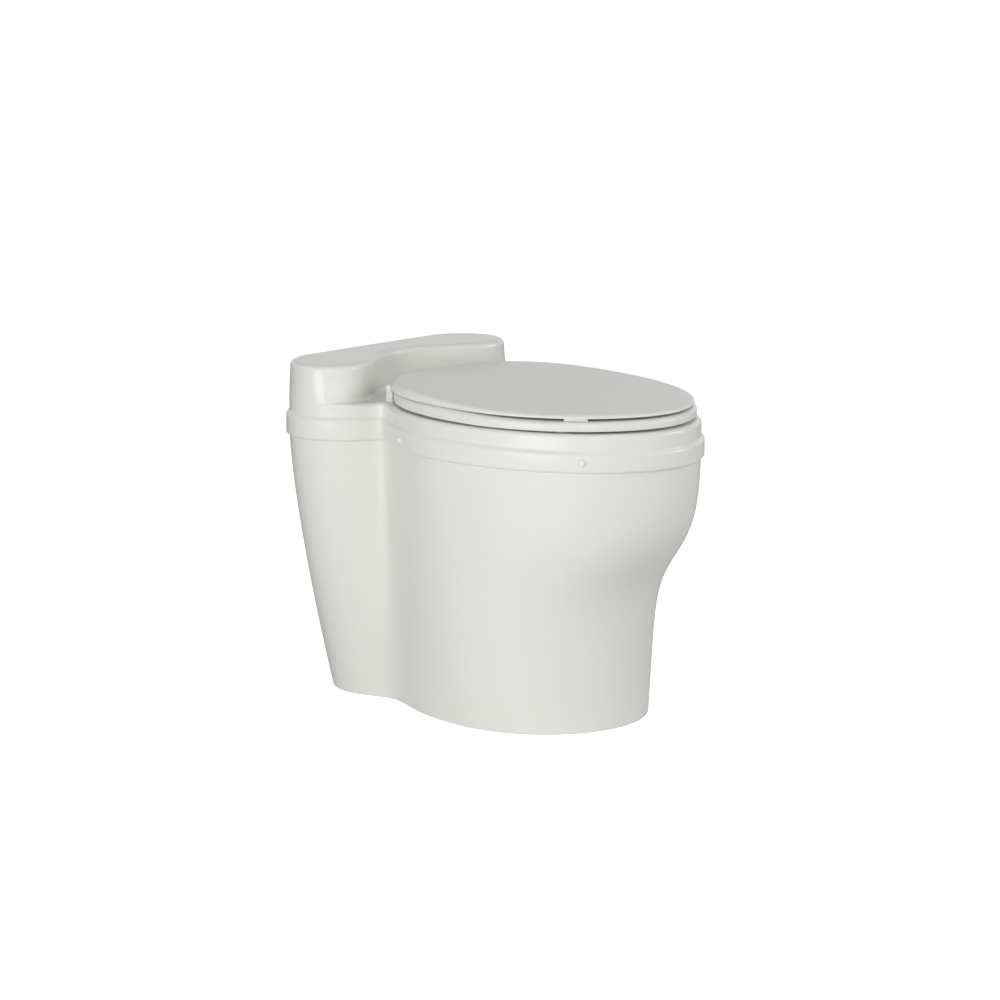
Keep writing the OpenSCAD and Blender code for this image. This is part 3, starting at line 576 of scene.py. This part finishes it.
def make_lid():
    m = Mesh()

    def foot_ring(d, up):
        p = oval(d, LID_REAR - d)
        return m.ring(ring3(p, LID_Z + up))

    def edge_ring(d, share, drop=0.0):
        p = oval(d, LID_REAR - d)
        return m.ring(ring3(p, lerp(LID_Z + 1, lid_top(p[:, 1]), share) - drop))

    def mid_ring(d, k, drop=0.0):
        p = oval(d, LID_REAR - d)
        y = LID_CY + (p[:, 1] - LID_CY) * k
        return m.ring(np.column_stack([p[:, 0] * k, y, lid_top(y) + LID_CROWN * (1 - k * k) - drop]))

    top = [foot_ring(0.8, 0), foot_ring(0.25, 0.35)]
    top += [edge_ring(LID_ROUND * (1 - math.cos(t)), math.sin(t)) for t in arc(12)]
    shares = (0.985, 0.96, 0.92, 0.86, 0.78, 0.7, 0.6, 0.5, 0.4, 0.3, 0.2, 0.1)
    top += [mid_ring(LID_ROUND, k) for k in shares]
    under = [foot_ring(LID_T - 0.6, 0), foot_ring(LID_T, 0.6)]
    for t in arc(6)[1:]:
        d = LID_T + (LID_ROUND + 1 - LID_T) * (1 - math.cos(t))
        under.append(edge_ring(d, 1 - (1 - math.sin(t)) * 0.9, LID_T * math.sin(t)))
    under += [mid_ring(LID_ROUND + 1, k, LID_T) for k in (0.97, 0.93, 0.85, 0.75, 0.6, 0.45, 0.3, 0.15)]
    m.bands(top)
    m.bands(under)
    m.band(top[0], under[0])
    c = lid_top(np.array([LID_CY]))[0] + LID_CROWN
    m.fan(top[-1], (0, LID_CY, c))
    m.fan(under[-1], (0, LID_CY, c - LID_T), True)
    ob = m.object("lid_skin", SEAT, 50)
    finish_piece(ob, "lid", "seat_plastic", "lid")
    for s in (1, -1):
        # room for the seat's knuckle and for the post
        for x0, x1 in ((KNUCKLE_X - KNUCKLE_GAP, LID_X), (POST_X - KNUCKLE_GAP, POST_X + 2 * POST_L)):
            c = Mesh()
            rounded_bar(c, s * x0, s * x1, BARREL_R + RECESS_CLEAR, 0.3)
            cut(ob, c, "knuckle_recess")
        k = Mesh()
        knuckle(k, s * LID_X, s * (LID_X + LUG_L), (HINGE_Y - 20, HINGE_Z), (HINGE_Y + 6, LID_Z + 4))
        finish_piece(k.object("lid_lug_" + side_name(s), SEAT, 35), "lid", "seat_plastic", "lid")


def cut(ob, mesh, name):
    """Takes a closed shape out of a piece."""
    tool = mesh.object(name, SEAT)
    mod = ob.modifiers.new("cut", "BOOLEAN")
    mod.operation = "DIFFERENCE"
    mod.solver = "EXACT"
    mod.object = tool
    bpy.context.view_layer.update()
    dg = bpy.context.evaluated_depsgraph_get()
    me = bpy.data.meshes.new_from_object(ob.evaluated_get(dg))
    ob.modifiers.remove(mod)
    old = ob.data
    ob.data = me
    bpy.data.meshes.remove(old)
    bpy.data.objects.remove(tool)
    me.set_sharp_from_angle(angle=math.radians(50))


def make_seat():
    m = Mesh()

    def hole(z, d):
        return ellipse(turn(OVAL_N), SEAT_HW + d, SEAT_HL + d, HOLE_CY, z)

    def edge(z, d):
        return m.ring(ring3(oval(d, SEAT_REAR, SEAT_BACK, SEAT_NR), z))

    # outside, from the underside up and over the rounded edge
    low, high, over = SEAT_LOW, 7, 9
    rings = [edge(SEAT_Z, low - SEAT_OUT)]
    rings += [edge(SEAT_Z + low * (1 - math.cos(a)), low * (1 - math.sin(a)) - SEAT_OUT) for a in arc(5)[1:]]
    rings += [edge(SEAT_TOP - high * (1 - math.sin(a)), over * (1 - math.cos(a)) - SEAT_OUT) for a in arc(10)]

    # across the top and down the hole
    slope = [(0.4, 24), (0.9, 17), (1.9, 11), (3.4, 6), (5.2, 2.8), (7.4, 0.7)]
    slope += [(SEAT_T - 4.5, 0), (SEAT_T - 1.5, 0.6), (SEAT_T, 2)]
    inner = [hole(SEAT_TOP - down, d) for down, d in slope]
    rim = np.array(m.v)[rings[-1]]
    rings += [m.ring(lerp(rim, inner[0], k)) for k in (0.35, 0.7)]
    rings += [m.ring(p) for p in inner]
    m.bands(rings + [rings[0]])
    pts = np.array(m.v)
    pts[:, 2] += seat_rise(pts[:, 1]) * np.clip((pts[:, 2] - SEAT_Z - low) / (SEAT_T - low), 0, 1)
    m.v = pts.tolist()
    finish_piece(m.object("seat_ring_skin", SEAT, 60), "root", "seat_plastic", "seat_ring")
    for s in (1, -1):
        k = Mesh()
        lo, hi = (SEAT_REAR - 16, SEAT_Z + 1), (HINGE_Y, SEAT_TOP - 2)
        knuckle(k, s * KNUCKLE_X, s * (KNUCKLE_X + KNUCKLE_L), lo, hi)
        finish_piece(k.object("seat_lug_" + side_name(s), SEAT, 35), "root", "seat_plastic", "seat_ring")


def make_hinges():
    for s in (1, -1):
        n = side_name(s)
        end = s * (POST_X + POST_L)
        bx = s * (POST_X + POST_L / 2)

        def upright(x, y, z):
            return np.column_stack([bx + x, HINGE_Y + y, z])

        def outward(x, y, z):
            return np.column_stack([end + s * z, HINGE_Y + x, HINGE_Z + y * s])

        # post with a round foot, 2 mm thick
        post = Mesh()
        rounded_bar(post, s * POST_X, end, BARREL_R, 0.5)
        x = sorted((s * POST_X, end))
        block(post, (x[0], HINGE_Y - BARREL_R, DECK_Z), (x[1], HINGE_Y + BARREL_R, HINGE_Z), 1.8)
        r, h = BARREL_R + 1, 2
        foot = [(r - h * (1 - math.cos(b)), DECK_Z + h * math.sin(b)) for b in arc(5)]
        lathe(post, [(0, DECK_Z)] + foot + [(0, DECK_Z + h)], upright)
        finish_piece(post.object("hinge_post_skin_" + n, SEAT, 35), "root", "seat_plastic", "hinge_post_" + n)

        # domed cap on the post's end, and the pin
        cap = Mesh()
        lathe(cap, [(0, 0)] + [(BARREL_R * math.cos(b), CAP_T * math.sin(b)) for b in arc(8)], outward)
        finish_piece(cap.object("hinge_cap_skin_" + n, SEAT, 40), "root", "seat_plastic", "hinge_cap_" + n)
        pin = Mesh()
        rounded_bar(pin, s * KNUCKLE_X, end - 0.5 * s, PIN_R, 0.4, 40)
        finish_piece(pin.object("hinge_pin_skin_" + n, STEEL, 40), "root", "steel", "hinge_pin_" + n)

        # bolt from below the deck, with a six-sided head, and its washer
        z0 = DECK_Z - DECK_T - WASHER_T
        z1 = DECK_Z + BOLT_UP
        zh = z0 - BOLT_HEAD_T
        bolt = Mesh()
        lathe(bolt, [(0, z0), (BOLT_R, z0), (BOLT_R, z1 - 0.5), (BOLT_R - 0.5, z1), (0, z1)], upright, 40)
        head = [(0, zh), (BOLT_HEAD_R - 0.6, zh), (BOLT_HEAD_R, zh + 0.6), (BOLT_HEAD_R, z0), (0, z0)]
        lathe(bolt, head, upright, 6)
        finish_piece(bolt.object("hinge_bolt_skin_" + n, STEEL, 35), "root", "steel", "hinge_bolt_" + n)
        washer = Mesh()
        zw, bore, e = z0 + WASHER_T, BOLT_R + 0.2, 0.3
        prof = [(bore, z0), (WASHER_R - e, z0), (WASHER_R, z0 + e)]
        prof += [(WASHER_R, zw - e), (WASHER_R - e, zw), (bore, zw)]
        lathe(washer, prof + prof[:1], upright, 48)
        finish_piece(washer.object("hinge_washer_skin_" + n, STEEL, 35), "root", "steel", "hinge_washer_" + n)


def make_bumpers():
    """Pads between seat and lid that lie along the lid's edge."""
    for s in (1, -1):
        p, q = [oval_point(b) for b in (BUMPER_A, BUMPER_A + 2)]
        slant = math.atan2(q[1] - p[1], q[0] - p[0])
        m = Mesh()
        block(m, (-BUMPER_L / 2, BUMPER_IN, SEAT_TOP + CLEAR), (BUMPER_L / 2, BUMPER_W, LID_Z), 0.6)
        pts = np.array(m.v)
        c, k = math.cos(slant), math.sin(slant)
        x, y = p[0] + pts[:, 0] * c - pts[:, 1] * k, p[1] + pts[:, 0] * k + pts[:, 1] * c
        m.v = np.column_stack([s * x, y, pts[:, 2]]).tolist()
        n = side_name(s)
        finish_piece(m.object("lid_bumper_skin_" + n, PAD, 40), "lid", "pad_rubber", "lid_bumper_" + n)


# ---------------------------------------------------------------- liner and caps
def make_liner():
    m = Mesh()
    t = turn(200)
    z0 = DECK_Z + LINER_T

    def ring(z, o, height=None):
        """Section at z, moved out by o and drawn at height where that is given."""
        k = float(smooth((z0 - z) / (z0 - ROUND_Z)))
        rx = lerp(MOUTH_W / 2 - LINER_T, SPOUT_R, k) + o
        ry = lerp(MOUTH_L / 2 - LINER_T, SPOUT_R, k) + o
        return m.ring(ellipse(t, rx, ry, lerp(HOLE_CY, CHUTE_Y, k), z if height is None else height))

    f = LINER_T + LINER_FLANGE
    flange = [(f - 0.8, DECK_Z), (f, DECK_Z + 0.8), (f, z0 - 0.8), (f - 0.8, z0)]
    flange += [(2.5, z0), (0.8, z0 - 0.6), (0, z0 - 2)]
    rings = [ring(z0, o, z) for o, z in flange]
    levels = np.linspace(z0 - 6, ROUND_Z, 36)
    rings += [ring(z, 0) for z in levels] + [ring(SPOUT_Z, 0), ring(SPOUT_Z, LINER_T)]
    rings += [ring(z, LINER_T) for z in levels[::-1]] + [ring(DECK_Z, LINER_T)]
    m.bands(rings + [rings[0]])
    finish_piece(m.object("bowl_liner_skin", LINER, 50), "root", "liner_plastic", "bowl_liner")


def rim_frame(a):
    """Point on the rim at direction a and its outward normal."""
    p, q = body_at(a, TAPER_TOP, 0)[0], body_at(a, TAPER_TOP, 1)[0]
    return p, q - p


def make_caps():
    for i, a in enumerate(SCREW_ANGLES):
        p, n = rim_frame(a)
        side = np.array([-n[1], n[0]])

        def place(x, y, z):
            return ring3(p + np.outer(x, side) + np.outer(BAND_OUT + z, n), SCREW_Z + y)

        m = Mesh()
        lathe(m, [(0, 0)] + [(CAP_R * math.cos(b), CAP_T * math.sin(b)) for b in arc(10)], place)
        ob = m.object("screw_cap_skin_%d" % (i + 1), CAPS, 40)
        finish_piece(ob, "root", "seat_plastic", "screw_cap_%d" % (i + 1))


make_base()
make_shroud()
make_lid()
make_seat()
make_hinges()
make_bumpers()
make_liner()
make_caps()

# the solids that no skin replaces
for name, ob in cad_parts.items():
    if ob.hide_render:
        continue
    if name.startswith(("lid_bumper", "seat_pad")):
        mat = PAD
    elif name == "chute_sleeve":
        mat = LINER
    else:
        mat = STEEL
    ob.data.materials.clear()
    ob.data.materials.append(mat)

# ---------------------------------------------------------------- stage, lights, camera
FLOOR_HALF, FLOOR_GLOW, WORLD_LIGHT = 40.0, 0.88, 0.18
LIGHT_AIM = (0.0, 0.0, 0.25)
CAM_AZ, CAM_EL, CAM_DIST = math.radians(-46.51), math.radians(11.79), 5.43
CAM_AIM_Y, CAM_AIM_Z = 0.035, 0.24

floor_me = bpy.data.meshes.new("floor")
S = FLOOR_HALF
floor_me.from_pydata([(-S, -S, 0), (S, -S, 0), (S, S, 0), (-S, S, 0)], [], [(0, 1, 2, 3)])
floor = bpy.data.objects.new("floor", floor_me)
bpy.context.scene.collection.objects.link(floor)
fm = bpy.data.materials.new("floor")
fm.use_nodes = True
nt = fm.node_tree
pb = nt.nodes["Principled BSDF"]
pb.inputs["Base Color"].default_value = (0.86, 0.86, 0.86, 1)
pb.inputs["Roughness"].default_value = 0.9
pb.inputs["Specular IOR Level"].default_value = 0.1
lp = nt.nodes.new("ShaderNodeLightPath")
glow = nt.nodes.new("ShaderNodeMath")
glow.operation = "MULTIPLY"
glow.inputs[1].default_value = FLOOR_GLOW
nt.links.new(lp.outputs["Is Camera Ray"], glow.inputs[0])
pb.inputs["Emission Color"].default_value = (1, 1, 1, 1)
nt.links.new(glow.outputs["Value"], pb.inputs["Emission Strength"])
floor_me.materials.append(fm)

world = bpy.data.worlds.new("studio")
bpy.context.scene.world = world
world.use_nodes = True
nt = world.node_tree
bg = nt.nodes["Background"]
bg.inputs["Color"].default_value = (1, 1, 1, 1)
lp = nt.nodes.new("ShaderNodeLightPath")
seen = lp.outputs["Is Camera Ray"]
for ray in ("Is Glossy Ray", "Is Transmission Ray"):
    either = nt.nodes.new("ShaderNodeMath")
    either.operation = "MAXIMUM"
    nt.links.new(seen, either.inputs[0])
    nt.links.new(lp.outputs[ray], either.inputs[1])
    seen = either.outputs["Value"]
span = nt.nodes.new("ShaderNodeMapRange")
span.inputs["To Min"].default_value = WORLD_LIGHT
span.inputs["To Max"].default_value = 1.0
nt.links.new(seen, span.inputs["Value"])
nt.links.new(span.outputs["Result"], bg.inputs["Strength"])


def area(name, az, el, dist, size, power):
    """A square lamp aimed at the object; az 0 is in front of it, and -90 on the side that the camera sees."""
    d = bpy.data.lights.new(name, "AREA")
    d.shape = "SQUARE"
    d.size = size
    d.energy = power
    ob = bpy.data.objects.new(name, d)
    bpy.context.scene.collection.objects.link(ob)
    a, e = math.radians(az), math.radians(el)
    v = np.array([math.sin(a) * math.cos(e), -math.cos(a) * math.cos(e), math.sin(e)])
    ob.location = np.array(LIGHT_AIM) + v * dist
    ob.rotation_euler = mathutils.Vector(v).to_track_quat("Z", "Y").to_euler()


area("key", -45, 18, 3.2, 0.35, 6)
area("spot", 7, 17, 3.2, 0.35, 3)
area("soft", -36, 20, 3.4, 2.2, 15)
area("low", -80, 12, 3.4, 1.8, 50)
area("top", -46, 65, 3.4, 1.4, 6)
area("side", 46, 26, 3.4, 1.4, 34)

cam_d = bpy.data.cameras.new("camera")
cam = bpy.data.objects.new("camera", cam_d)
bpy.context.scene.collection.objects.link(cam)
level = math.cos(CAM_EL) * CAM_DIST
cam.location = (math.sin(CAM_AZ) * level, CAM_AIM_Y - math.cos(CAM_AZ) * level,
                CAM_AIM_Z + math.sin(CAM_EL) * CAM_DIST)
cam.rotation_euler = (math.pi / 2 - CAM_EL, 0, CAM_AZ)
cam_d.sensor_width = 36
cam_d.lens = 134.8
cam_d.shift_x = 0.00175
cam_d.shift_y = 0.0373
cam_d.clip_end = 100
bpy.context.scene.camera = cam

bpy.context.scene.view_settings.view_transform = "Standard"
